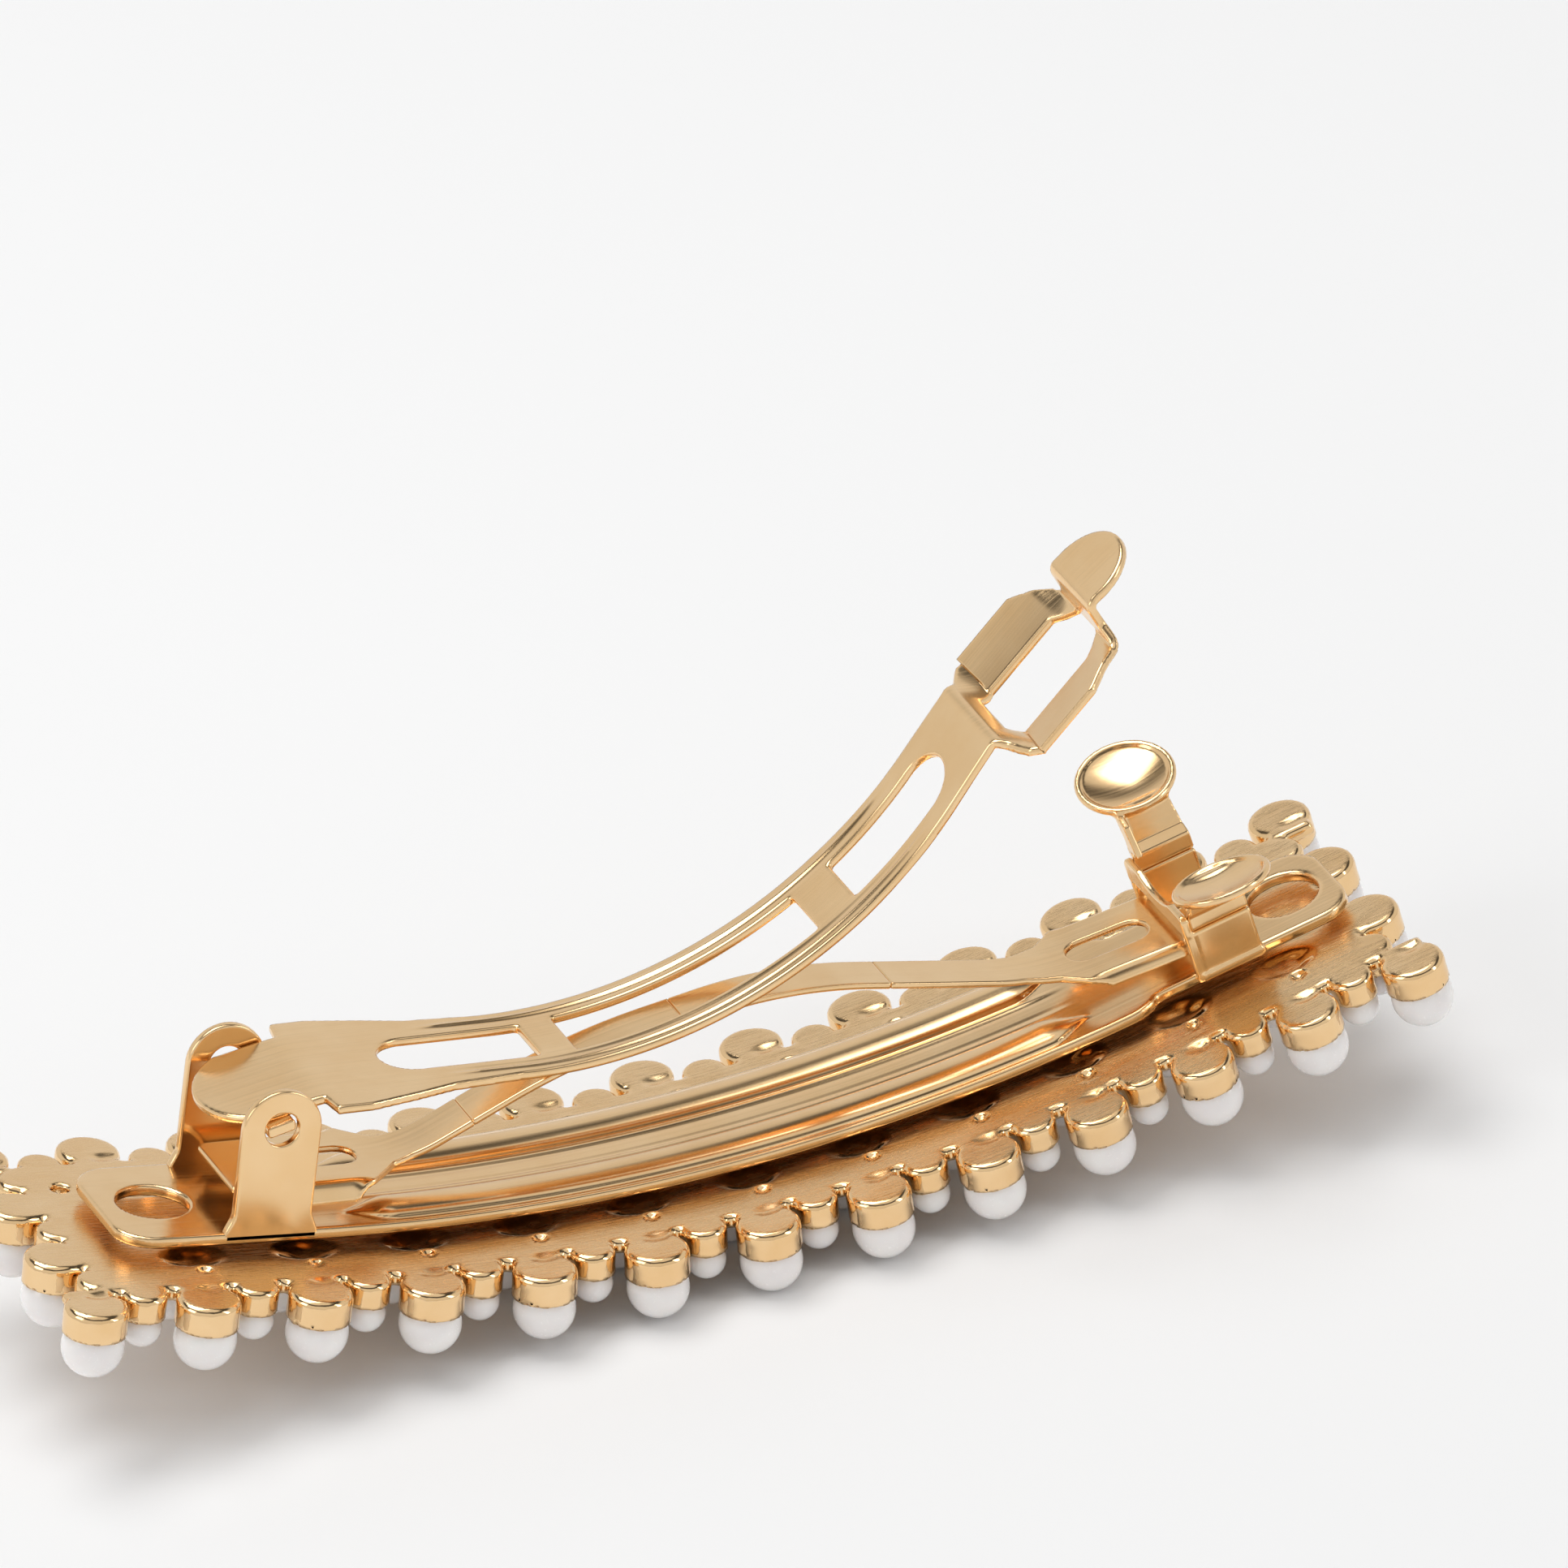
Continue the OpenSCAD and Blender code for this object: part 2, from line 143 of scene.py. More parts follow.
def cut(a, b, k):
    """a without b, the edge eased by about k."""
    return -join(-a, b, k)


def ramp(x, a, b):
    t = np.clip((x - a) / (b - a), 0, 1)
    return t * t * (3 - 2 * t)


def waves(u, v, size, seed):
    """Smooth seeded unevenness between about -1 and 1."""
    total = 0.0
    for i in range(5):
        a = seed * 1.7 + i * 2.4
        f = (1 + 0.37 * i) * 2 * math.pi / size
        total = total + np.sin((u * math.cos(a) + v * math.sin(a)) * f + seed * 3.1 + i * i)
    return total / 5


# ---------- meshes from distance fields ----------
def net(field, lo, hi, step):
    """Surface net of a field over a box: vertices pulled onto the zero level, and quads."""
    axes = [np.arange(a - 1.5 * step, b + 2.5 * step, step) for a, b in zip(lo, hi)]
    g = field(axes[0][:, None, None], axes[1][None, :, None], axes[2][None, None, :])
    g = np.ascontiguousarray(np.broadcast_to(g, [len(a) for a in axes]))
    inside = g < 0
    n = [k - 1 for k in g.shape]
    count = np.zeros(n, np.int8)
    for i in (0, 1):
        for j in (0, 1):
            for k in (0, 1):
                count += inside[i:n[0] + i, j:n[1] + j, k:n[2] + k]
    cells = np.argwhere((count > 0) & (count < 8))
    index = np.full(n, -1)
    index[tuple(cells.T)] = np.arange(len(cells))
    start = np.array([a[0] for a in axes])
    verts = start + (cells + crossing_means(g, cells)) * step
    return pulled(field, verts, step), cell_quads(inside, index)


def crossing_means(g, cells):
    """Mean of the places where the field crosses zero on each cell's edges."""
    total = np.zeros((len(cells), 3))
    hits = np.zeros(len(cells))
    corners = [(i, j, k) for i in (0, 1) for j in (0, 1) for k in (0, 1)]
    for a in corners:
        for d in range(3):
            if a[d]:
                continue
            b = tuple(a[m] + (m == d) for m in range(3))
            fa = g[tuple((cells + a).T)]
            fb = g[tuple((cells + b).T)]
            cross = (fa < 0) != (fb < 0)
            t = np.where(cross, fa / np.where(cross, fa - fb, 1), 0)
            point = np.array(a, float) + t[:, None] * (np.array(b) - np.array(a))
            total[cross] += point[cross]
            hits[cross] += 1
    return total / hits[:, None]


def cell_quads(inside, index):
    """A quad round every grid edge that crosses the surface, facing outwards."""
    quads = []
    for d in range(3):
        e, f = (d + 1) % 3, (d + 2) % 3
        lower = [slice(None)] * 3
        upper = [slice(None)] * 3
        lower[d], upper[d] = slice(0, -1), slice(1, None)
        change = inside[tuple(lower)] != inside[tuple(upper)]
        at = np.argwhere(change)
        out = inside[tuple(at.T)]
        ring = []
        for de, df in ((-1, -1), (0, -1), (0, 0), (-1, 0)):
            c = at.copy()
            c[:, e] += de
            c[:, f] += df
            ring.append(index[tuple(c.T)])
        q = np.stack(ring, axis=1)
        q[~out] = q[~out][:, ::-1]
        quads.append(q)
    quads = np.concatenate(quads)
    return quads[(quads >= 0).all(axis=1)]


def pulled(field, verts, step):
    """Moves vertices along the gradient onto the field's zero level."""
    e = step * 0.1
    for _ in range(2):
        v = field(verts[:, 0], verts[:, 1], verts[:, 2])
        grad = np.empty_like(verts)
        for d in range(3):
            p = verts.copy()
            p[:, d] += e
            m = verts.copy()
            m[:, d] -= e
            grad[:, d] = (field(p[:, 0], p[:, 1], p[:, 2]) - field(m[:, 0], m[:, 1], m[:, 2])) / (2 * e)
        size = np.maximum((grad * grad).sum(axis=1), 0.05)
        move = -(v / size)[:, None] * grad
        verts = verts + np.clip(move, -0.4 * step, 0.4 * step)
    return verts


def put(name, verts, faces, material, body, nodes=()):
    """Makes one smooth piece from points in millimetres and rides it on a body."""
    mesh = bpy.data.meshes.new(name)
    mesh.from_pydata((verts * MM).tolist(), [], faces.tolist() if hasattr(faces, "tolist") else faces)
    mesh.update()
    mesh.polygons.foreach_set("use_smooth", [True] * len(mesh.polygons))
    mesh.materials.append(material)
    piece = bpy.data.objects.new(name, mesh)
    bpy.context.scene.collection.objects.link(piece)
    if body:
        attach(piece, body)
    if nodes:
        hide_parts(*nodes)
    return piece


# ---------- the casting: back plate and pearl cups ----------
def large_cups():
    """(s, y) of every large cup, outer ones first."""
    outer = [(k * PITCH, side * ROW_Y) for k in range(-6, 7) for side in (-1, 1)]
    ends = [(e * END_S, side * INNER_Y) for e in (-1, 1) for side in (-1, 1)]
    inner = [(k * PITCH, side * INNER_Y) for k in range(-5, 6) for side in (-1, 1)]
    return outer + ends, inner


def small_cups():
    rows = [((k + 0.5) * PITCH, side * (ROW_Y - SMALL_INSET)) for k in range(-6, 6) for side in (-1, 1)]
    ends = [(e * (END_S - SMALL_INSET), j * 2 * INNER_Y) for e in (-1, 1) for j in (-1, 0, 1)]
    return rows + ends


def near_window(shape, u, v, cu, cv, reach):
    """Index of the grid cells, or the points, within reach of a place."""
    if u.ndim == 1:
        return np.nonzero((np.abs(u - cu) < reach) & (np.abs(v - cv) < reach))[0]
    i = np.nonzero(np.abs(u[:, 0, 0] - cu) < reach)[0]
    j = np.nonzero(np.abs(v[0, :, 0] - cv) < reach)[0]
    if len(i) == 0 or len(j) == 0:
        return None
    return (slice(i[0], i[-1] + 1), slice(j[0], j[-1] + 1), slice(None))


def pick(a, shape, w):
    return np.broadcast_to(a, shape)[w]


def casting_plan(u, v, outer):
    """Outline of the plate: a long slab with a lobe at every outer cup."""
    flat = np.broadcast(u, v).shape
    x1 = END_S - 1.2
    plan = np.broadcast_to(box2(u, v, -x1, x1, -SLAB_HW, SLAB_HW, 0.8), flat).copy()
    for cu, cv in outer:
        w = near_window(flat, u, v, cu, cv, 5.0)
        uu, vv = pick(u, flat, w), pick(v, flat, w)
        along = 0.0 if abs(cv) < ROW_Y - 0.1 else 1.0
        inner_v = cv - math.copysign(2.2, cv) if along else cv
        inner_u = cu if along else cu - math.copysign(2.2, cu)
        neck = box2(uu, vv, min(cu, inner_u) - 1.4 * along, max(cu, inner_u) + 1.4 * along,
                    min(cv, inner_v) - 1.4 * (1 - along), max(cv, inner_v) + 1.4 * (1 - along), 0.2)
        lobe = np.minimum(disc(uu, vv, cu, cv, CUP_R - 0.02), neck)
        plan[w] = join(plan[w], lobe, 0.7)
    for cu, cv in small_cups():
        w = near_window(flat, u, v, cu, cv, 4.0)
        uu, vv = pick(u, flat, w), pick(v, flat, w)
        plan[w] = join(plan[w], disc(uu, vv, cu, cv, SMALL_CUP_R), 0.35)
    return plan


def casting_field(u, v, o):
    shape = np.broadcast(u, v, o).shape
    outer, inner = large_cups()
    wear = 0.05 * waves(u, v, 9.0, 1)
    field = plate(casting_plan(u, v, outer), o, -SLAB_T, -0.03 + wear * 0.4, 0.38)
    field = np.broadcast_to(field, shape).copy()
    add_cups(field, shape, u, v, o, outer + inner)
    add_hollows(field, shape, u, v, o)
    cut_seats(field, shape, u, v, o, outer + inner)
    return field


def add_cups(field, shape, u, v, o, large):
    """The drum below each pearl's place, with its rim."""
    for cups, r, h in ((large, CUP_R, CUP_H), (small_cups(), SMALL_CUP_R, SMALL_CUP_H)):
        for cu, cv in cups:
            w = near_window(shape, u, v, cu, cv, r + 1.2)
            if w is None:
                continue
            uu, vv, oo = pick(u, shape, w), pick(v, shape, w), pick(o, shape, w)
            d = disc(uu, vv, cu, cv, r - 0.03)
            drum = plate(d, oo, -h, -0.5, 0.32)
            rim = plate(disc(uu, vv, cu, cv, r - 0.02), oo, -h, -h + 0.3, 0.12)
            field[w] = join(field[w], np.minimum(drum, rim), 0.12)


def add_hollows(field, shape, u, v, o):
    """Hollows and mould marks on the back, and the small hole at the left end."""
    for k in range(-5, 6):
        for side in (-1, 1):
            dent(field, shape, u, v, o, k * PITCH + 1.0, side * 4.8, (2.1, 1.3, 0.45), k + 7 * side)
            crater(field, shape, u, v, o, k * PITCH + 1.1, side * 6.7)
    for k in range(-6, 7):
        for side in (-1, 1):
            dent(field, shape, u, v, o, k * PITCH + 0.5, side * (ROW_Y - 1.2), (0.95, 0.6, 0.2), k)
    hole(field, shape, u, v, o, -38.6, 5.3, 0.55)


def cut_seats(field, shape, u, v, o, large):
    """A round seat for every pearl."""
    for cups, r, drop in ((large, LARGE_R, PEARL_DROP), (small_cups(), SMALL_R, SMALL_DROP)):
        for cu, cv in cups:
            w = near_window(shape, u, v, cu, cv, r + 0.9)
            if w is None:
                continue
            uu, vv, oo = pick(u, shape, w), pick(v, shape, w), pick(o, shape, w)
            ball = np.sqrt((uu - cu) ** 2 + (vv - cv) ** 2 + (oo + drop) ** 2) - r - 0.02
            field[w] = cut(field[w], ball, 0.08)


def dent(field, shape, u, v, o, cu, cv, size, seed):
    """A shallow uneven hollow in the back face."""
    a, b, deep = size
    w = near_window(shape, u, v, cu, cv, a + 1.0)
    if w is None:
        return
    uu, vv, oo = pick(u, shape, w), pick(v, shape, w), pick(o, shape, w)
    r = np.hypot((uu - cu) / a, (vv - cv) / b)
    lump = 1 + 0.25 * waves(uu, vv, 2.2, seed)
    bowl = (oo + deep * lump * np.maximum(1 - r * r, -0.6)) * -1.0
    field[w] = cut(field[w], np.maximum(bowl, (r - 1.15) * b), 0.12)


def crater(field, shape, u, v, o, cu, cv):
    """A small raised ring left on the back of the plate by the mould."""
    w = near_window(shape, u, v, cu, cv, 1.6)
    if w is None:
        return
    uu, vv, oo = pick(u, shape, w), pick(v, shape, w), pick(o, shape, w)
    ring = np.hypot(np.hypot(uu - cu, vv - cv) - 0.62, oo + 0.12) - 0.13
    pit = np.sqrt((uu - cu) ** 2 + (vv - cv) ** 2 + (oo - 0.36) ** 2) - 0.62
    field[w] = join(cut(field[w], pit, 0.1), ring, 0.15)


def hole(field, shape, u, v, o, cu, cv, r):
    w = near_window(shape, u, v, cu, cv, r + 1.0)
    if w is None:
        return
    uu, vv = pick(u, shape, w), pick(v, shape, w)
    field[w] = cut(field[w], disc(uu, vv, cu, cv, r), 0.2)


def make_casting(material):
    s_end = END_S + CUP_R + 0.05
    y_end = ROW_Y + CUP_R + 0.05
    verts, quads = net(casting_field, (-s_end, -y_end, -CUP_H), (s_end, y_end, 0.1), 0.24)
    return put("cast_plate_and_cups", bow(verts), quads, material, "base", ("casting",))


# ---------- sheet metal ----------
def bead_height(u, v):
    """Two long stamped beads and the fine lines beside them."""
    ends = ramp(np.abs(u), 24.6, 21.0)
    w = np.maximum(1.45 * ends, 0.02)
    t = np.clip((np.abs(v) - 3.0) / w, -1, 1)
    arch = 0.56 * ends * np.sqrt(np.maximum(1 - t * t, 0))
    lip = 0.05 * np.exp(-((np.abs(v) - 1.15) / 0.16) ** 2) * ends
    lip = lip - 0.04 * np.exp(-((np.abs(v) - 0.75) / 0.12) ** 2) * ends
    return arch + lip


def base_field(u, v, o):
    wide = box2(u, v, -38.5, 28.4, -5.0, 5.0, 2.4)
    narrow = box2(u, v, 20.0, 41.5, -4.0, 4.0, 2.2)
    plan = join(np.maximum(wide, u - 27.6), narrow, 1.2)
    plan = np.maximum(plan, -disc(u, v, -34.9, 0, 2.2))
    plan = np.maximum(plan, -disc(u, v, 38.3, 0, 2.2))
    lift = bead_height(u, v)
    return plate(plan, o - lift, SEAT, TOP, 0.16)


def ear_field(side):
    """One ear, in (s, y, offset), with the fold where it leaves the base."""
    def field(u, v, o):
        y0, y1 = 4.4, 5.0
        plan = np.minimum(box2(u, o, EAR_S - EAR_HW, EAR_S + EAR_HW, SEAT + 0.1, TOP + PIVOT_H),
                          disc(u, o, EAR_S, TOP + PIVOT_H, EAR_HW))
        flare = 0.5 * ramp(o, 2.6, 1.0)
        foot = box2(u, o, EAR_S - EAR_HW - flare, EAR_S + EAR_HW + flare, SEAT + 0.1, 3.4, 0.2)
        plan = np.minimum(plan, foot)
        plan = np.maximum(plan, -disc(u, o, EAR_S, TOP + PIVOT_H, 1.05))
        r = np.hypot(u - EAR_S, o - TOP - PIVOT_H)
        dish = 0.22 * ramp(r, 2.0, 1.2)
        return plate(plan, v * side - dish * 0.0, y0, y1, 0.14)
    return field


def make_base(material):
    sheet = net(base_field, (-38.6, -5.1, SEAT), (41.6, 5.1, TOP + 0.6), 0.17)
    piece = put("clip_base_strip", bow(sheet[0]), sheet[1], material, "base", ("clip_base",))
    for side, word in ((-1, "near"), (1, "far")):
        lo = (EAR_S - EAR_HW - 0.6, min(side * 4.4, side * 5.0), SEAT)
        hi = (EAR_S + EAR_HW + 0.6, max(side * 4.4, side * 5.0), TOP + PIVOT_H + EAR_HW)
        v, q = net(ear_field(side), lo, hi, 0.1)
        put("hinge_ear_sheet_" + word, bow(v), q, material, "base", ("hinge_ear_" + word,))
    return piece


# ---------- paths for bent sheet ----------
class Path:
    """A line in the XZ plane made of straight and curved runs, sampled finely."""

    def __init__(self, x, z, heading, runs):
        pts, at = [(0.0, x, z, heading)], 0.0
        a = math.radians(heading)
        for length, turn in runs:
            n = max(2, int(abs(length) / 0.05))
            for _ in range(n):
                da = math.radians(turn) / n
                x += length / n * math.cos(a + da / 2)
                z += length / n * math.sin(a + da / 2)
                a += da
                at += length / n
                pts.append((at, x, z, math.degrees(a)))
        t = np.array(pts)
        self.u, self.x, self.z, self.a = t[:, 0], t[:, 1], t[:, 2], np.radians(t[:, 3])
        self.length = at

    def bend(self, p):
        u = np.clip(p[:, 0], 0, self.length)
        over = p[:, 0] - u
        x, z, a = (np.interp(u, self.u, k) for k in (self.x, self.z, self.a))
        return np.stack([x + over * np.cos(a) - p[:, 2] * np.sin(a), p[:, 1],
                         z + over * np.sin(a) + p[:, 2] * np.cos(a)], axis=1)

    def place(self, x):
        """Length along the path where it first reaches x."""
        return float(self.u[np.argmax(self.x >= x)])


# ---------- the arm ----------
ARM_T = 0.55
TAIL_L, ARC_R, NECK_L = 6.6, 30.8, 4.9
CREST_X, ARM_X0 = -24.3, -11.92
ARM_Z0 = BACK_Z + 9.94
CREST_Z = ARM_Z0 + (ARM_X0 - CREST_X) * math.tan(math.radians(9))


def arm_path():
    """Tail, crest, straight, curve, neck, step down, loop floor, tab."""
    x = CREST_X - TAIL_L * math.cos(math.radians(4))
    z = CREST_Z - TAIL_L * math.sin(math.radians(4))
    to_arc = (ARM_X0 - CREST_X) / math.cos(math.radians(9))
    runs = [(TAIL_L - 0.7, 0), (1.4, -13), (to_arc - 0.7, 0), (ARC_R * math.radians(58), 58),
            (NECK_L - 0.75, 0), (0.55, -67.5), (1.75, 0), (0.6, 60), (7.0, 0),
            (0.7, 74), (1.85, 0), (0.7, -80.5), (4.0, 0)]
    path = Path(x, z, 4.0, runs)
    fold = sum(r[0] for r in runs[:5])
    return path, fold


ARM, FOLD = arm_path()


def arm_lift(u, v):
    """Height of the pressed shapes: the dished loop and the fine lines along the rails."""
    side = np.clip((np.abs(v) - 2.3) / 4.4, 0, 1.2)
    loop = ramp(u, FOLD + 0.3, FOLD + 2.9) * ramp(u, FOLD + 11.0, FOLD + 8.8)
    along = ramp(u, ARM.place(-17), ARM.place(-14)) * ramp(u, ARM.place(15.5), ARM.place(13))
    line = 0.07 * np.exp(-((np.abs(v) - 3.25) / 0.15) ** 2) - 0.05 * np.exp(-((np.abs(v) - 2.85) / 0.12) ** 2)
    return 1.0 * loop * side * (1.15 - 0.15 * side) + along * line


def arm_field(u, v, o):
    x10 = ARM.place(10)
    half = [(3.0, 4.2), (6.5, 4.2), (6.75, 5.85), (8.9, 5.85), (12.0, 5.15), (14.6, 4.45), (19.1, 4.05),
            (x10, 4.05), (FOLD, 3.8), (FOLD + 0.8, 4.3), (FOLD + 1.5, 5.9), (FOLD + 2.6, 6.6),
            (FOLD + 7.6, 6.6), (FOLD + 9.1, 5.4), (FOLD + 10.3, 4.2), (FOLD + 11.4, 3.1), (FOLD + 12.8, 2.9)]
    plan = polygon2(u, v, mirrored(half), 0.0)
    tail = np.maximum(disc(u, v, 4.75, 0, 4.75), np.maximum(np.abs(v) - 4.2, u - 6.0))
    plan = np.minimum(plan, tail)
    plan = join(plan, disc(u, v, FOLD + 13.8, 0, 3.0), 0.8)
    place = ARM.place
    first = join(box2(u, v, place(-17.8), place(-10.2), -2.0, 2.0, 0.25),
                 disc(u, v, place(-17.6), 0, 2.0), 0.05)
    second = box2(u, v, place(-8), place(7.7), -2.2, 2.2, 0.25)
    third = join(box2(u, v, place(10.2), place(15.8), -2.2, 2.2, 0.25), disc(u, v, place(15.6), 0, 2.2), 0.05)
    eye = polygon2(u, v, mirrored([(FOLD + 1.75, 1.9), (FOLD + 2.9, 2.75), (FOLD + 8.4, 2.75),
                                   (FOLD + 10.1, 1.3)]), 0.1)
    for window in (first, second, third, eye):
        plan = np.maximum(plan, -window)
    return plate(plan, o - arm_lift(u, v), -ARM_T / 2, ARM_T / 2, 0.15)


def make_arm(material):
    verts, quads = net(arm_field, (-0.1, -6.7, -0.35), (FOLD + 17.2, 6.7, 1.75), 0.15)
    return put("arm_sheet", ARM.bend(verts), quads, material, "arm", ("arm",))


def make_trunnions(material):
    """The flat ends of the arm's two tabs, standing in the ears' holes."""
    for side, word in ((-1, "near"), (1, "far")):
        def field(u, v, o):
            w = o * math.cos(0.12) - u * math.sin(0.12)
            d = box2(u, w, -0.86, 0.86, -0.34, 0.34, 0.2)
            return plate(d, v * side, 3.9, 4.92, 0.14)
        lo = (-1.0, min(side * 3.9, side * 4.95), -1.0)
        hi = (1.0, max(side * 3.9, side * 4.95), 1.0)
        v, q = net(field, lo, hi, 0.07)
        v = v + np.array([PIVOT_X, 0, PIVOT_Z])
        put("trunnion_tab_" + word, v, q, material, "pivot", ("trunnion_" + word,))


# ---------- leaf spring ----------
SPRING = [(-19.0, 4.9 + BACK_Z), (-7.5, 8.714 + BACK_Z), (5.8, 9.783 + BACK_Z), (21.5, 5.7 + BACK_Z)]
LEAF_T, LEAF_HW = 0.4, 1.6
ANCHOR_A, SLIDER_A = -10.0, 8.0
ANCHOR_L, SLIDER_L = 11.4, 9.4


def spring_path():
    """One smooth line through anchor, leaves and slider; also where each joint lies on it."""
    heads = [ANCHOR_A] + [math.degrees(math.atan2(b[1] - a[1], b[0] - a[0]))
                          for a, b in zip(SPRING, SPRING[1:])] + [SLIDER_A]
    spans = [ANCHOR_L] + [math.dist(a, b) for a, b in zip(SPRING, SPRING[1:])] + [SLIDER_L]
    cut_back = [2.4, 5.0, 5.0, 3.2]
    runs, joints, at, before = [], [], 0.0, 0.0
    for i in range(4):
        turn = heads[i + 1] - heads[i]
        t = cut_back[i]
        arc = t / math.tan(math.radians(abs(turn)) / 2) * math.radians(abs(turn))
        straight = spans[i] - before - t
        runs += [(straight, 0), (arc, turn)]
        joints.append(at + straight + arc / 2)
        at += straight + arc
        before = t
    runs.append((spans[4] - before, 0))
    x = SPRING[0][0] - ANCHOR_L * math.cos(math.radians(ANCHOR_A))
    z = SPRING[0][1] - ANCHOR_L * math.sin(math.radians(ANCHOR_A))
    return Path(x, z, ANCHOR_A, runs), joints


LEAF, LEAF_JOINTS = spring_path()


def spring_field(u, v, o):
    """The whole spring unrolled: paddle, strip, paddle, with their slots."""
    j1, j4, end = LEAF_JOINTS[0], LEAF_JOINTS[3], LEAF.length
    half = [(0.0, 2.9), (1.2, 3.95), (j1 - 3.6, 3.95), (j1 - 2.6, 3.6), (j1 - 0.8, 1.9), (j1 + 0.6, LEAF_HW),
            (j4 - 1.0, LEAF_HW), (j4 + 0.9, 2.2), (j4 + 2.4, 3.5), (j4 + 3.6, 3.75), (end - 0.9, 3.75),
            (end, 2.9)]
    plan = polygon2(u, v, mirrored(half))
    left_slot = box2(u, v, j1 - 7.8, j1 - 2.6, -1.15, 1.15, 1.12)
    right_slot = box2(u, v, j4 + 2.2, j4 + 7.4, -1.2, 1.2, 1.17)
    plan = np.maximum(np.maximum(plan, -left_slot), -right_slot)
    crown = 0.12 * np.exp(-(v / 0.5) ** 2) * ramp(u, j1, j1 + 4) * ramp(u, j4, j4 - 4) * 0.0
    skirt = -0.9 * np.clip((np.abs(v) - 3.1) / 0.8, 0, 1) ** 2
    skirt = skirt * np.maximum(ramp(u, j1 - 2.6, j1 - 4.0), ramp(u, j4 + 2.2, j4 + 3.6))
    return plate(plan, o - crown - skirt, -LEAF_T / 2, LEAF_T / 2, 0.1)


def make_spring(material):
    """The strip is cut where a leaf is straight, so each piece holds the curve round one joint."""
    j = LEAF_JOINTS
    cuts = [0.0, j[0] + 4.6, (j[1] + j[2]) / 2, j[2] + 6.4, LEAF.length]
    names = ["anchor_and_rise", "left_crown", "right_crown", "fall_and_slider"]
    nodes = [("spring_anchor", "spring_left_leaf"), ("spring_middle_leaf",), ("spring_right_leaf",),
             ("spring_slider",)]
    spread = [2.6, 5.0, 5.0, 3.4]
    for i in range(4):
        lo, hi = cuts[i], cuts[i + 1]
        ext = [(lo - 0.5) if i == 0 else lo, (hi + 0.5) if i == 3 else hi]

        def field(u, v, o, a=ext[0], b=ext[1]):
            return np.maximum(spring_field(u, v, o), np.maximum(a - u, u - b))
        half = 4.0 if i in (0, 3) else LEAF_HW
        v, q = net(field, (max(lo, 0), -half, -1.3), (min(hi, LEAF.length), half, 0.3), 0.13)
        piece = put("spring_" + names[i], LEAF.bend(v), q, material, None, nodes[i])
        a = LEAF.bend(np.array([[j[i] - spread[i], 0, 0]]))[0] * MM
        b = LEAF.bend(np.array([[j[i] + spread[i], 0, 0]]))[0] * MM
        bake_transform(piece)


# ---------- latch ----------
DISC_R, DISC_EL = 3.1, math.radians(12)


def bridge_field(u, v, o):
    s, y, h = u - LATCH_S, np.abs(v), o - TOP
    wall = plate(box2(s, h, -1.95, 1.9, -0.4, 3.05, 0.25), y, 4.0, 4.5, 0.12)
    post = plate(box2(y, h, 3.95, 4.5, -0.4, 4.0, 0.15), s, -2.4, -1.9, 0.12)
    arch = np.maximum(box2(y, h, -1.0, 4.45, 2.75, 4.25, 0.3), -disc(y, h, 0, 9.3, 5.6))
    web = plate(arch, s, -2.4, -1.95, 0.12)
    foot = plate(box2(s, y, -2.1, 2.1, 3.3, 4.5, 0.2), h, -0.25, 0.04, 0.04)
    return join(join(join(wall, post, 0.25), web, 0.2), foot, 0.35)


def segment(a, b, y, h):
    """Distance to a line from a to b."""
    ex, ey = b[0] - a[0], b[1] - a[1]
    t = np.clip(((y - a[0]) * ex + (h - a[1]) * ey) / (ex * ex + ey * ey), 0, 1)
    return np.hypot(y - a[0] - t * ex, h - a[1] - t * ey)


def prong_field(u, v, o):
    """The stem with its shelf and flange, and the cupped finger disc."""
    s, y, h = u - LATCH_S, v, o - TOP
    line = [(4.25, 3.3), (4.25, 4.15), (4.8, 4.6), (5.35, 6.6)]
    d = segment(line[0], line[1], y, h)
    for a, b in zip(line[1:], line[2:]):
        d = np.minimum(d, segment(a, b, y, h))
    width = np.abs(s) - (1.88 - 0.12 * np.clip(h - 4, 0, 3))
    stem = np.maximum(d - 0.23, width)
    flange = polygon2(y, h, [(3.2, 4.6), (4.3, 4.6), (5.45, 6.6), (5.0, 6.8), (4.1, 6.3), (3.55, 5.3)], 0.05)
    flange = plate(flange, s, -1.88, -1.45, 0.1)
    cy, ch = 5.2 + 2.4 * math.cos(DISC_EL), 6.6 + 2.4 * math.sin(DISC_EL)
    t = (y - cy) * math.cos(DISC_EL) + (h - ch) * math.sin(DISC_EL)
    n = -(y - cy) * math.sin(DISC_EL) + (h - ch) * math.cos(DISC_EL)
    r = np.hypot(s, t)
    cup = np.maximum(np.abs(n + 0.3 - 0.62 * (r / DISC_R) ** 2) - 0.2, r - DISC_R + 0.18)
    rim = np.hypot(r - DISC_R + 0.24, n - 0.28) - 0.23
    return join(join(stem, flange, 0.2), join(cup, rim, 0.15), 0.3)


def make_latch(material):
    v, q = net(bridge_field, (LATCH_S - 2.5, -4.6, TOP - 0.3), (LATCH_S + 2.2, 4.6, TOP + 4.4), 0.11)
    put("latch_bracket", bow(v), q, material, "base", ("latch_bridge",))
    v, q = net(prong_field, (LATCH_S - 3.2, 3.0, TOP + 2.9), (LATCH_S + 3.2, 11.0, TOP + 8.9), 0.11)
    for side, word in ((-1, "near"), (1, "far")):
        w = v * np.array([1, side, 1])
        faces = q if side > 0 else q[:, ::-1]
        put("latch_finger_" + word, bow(w), faces, material, "prong_" + word,
            ("latch_prong_" + word,))


